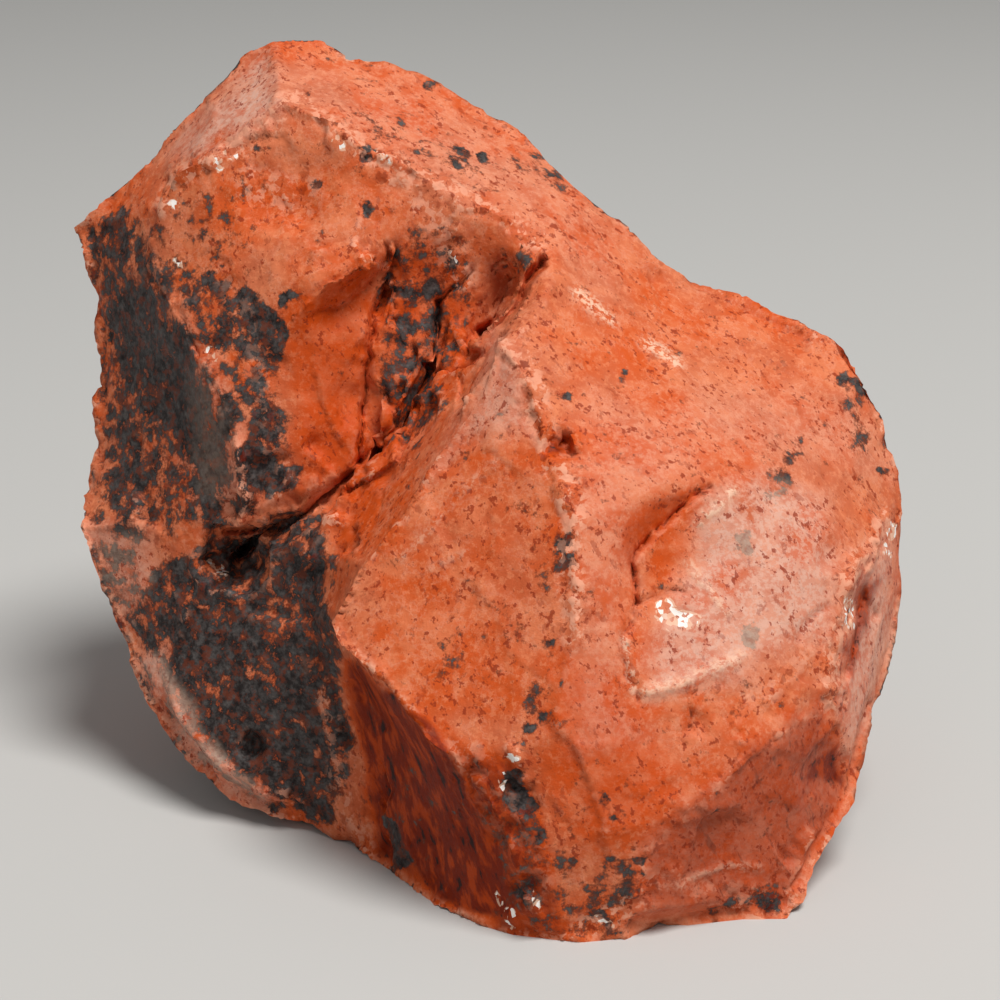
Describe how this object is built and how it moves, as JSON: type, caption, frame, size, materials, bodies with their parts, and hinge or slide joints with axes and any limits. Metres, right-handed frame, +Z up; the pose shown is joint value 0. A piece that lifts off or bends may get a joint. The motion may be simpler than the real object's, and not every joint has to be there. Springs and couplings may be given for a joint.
{
  "type": "rough mahogany obsidian",
  "caption": "Rough broken lump of rust-red and black volcanic glass with curved fracture faces, sharp ridges and a deep crack; it rests on a flat underside.",
  "frame": {"origin": "centre of the bounding box's bottom face, on the surface that the stone rests on", "axes": "+Z up, +X to the right along the stone's longest side, the broad front face towards -Y"},
  "size_m": [0.1492, 0.128, 0.1309],
  "materials": {
    "mahogany_glass": "broken volcanic glass, rust red with black spots and patches, satin to glossy"
  },
  "bodies": {
    "root": {"obsidian_stone": "mahogany_glass"}
  },
  "joints": []
}
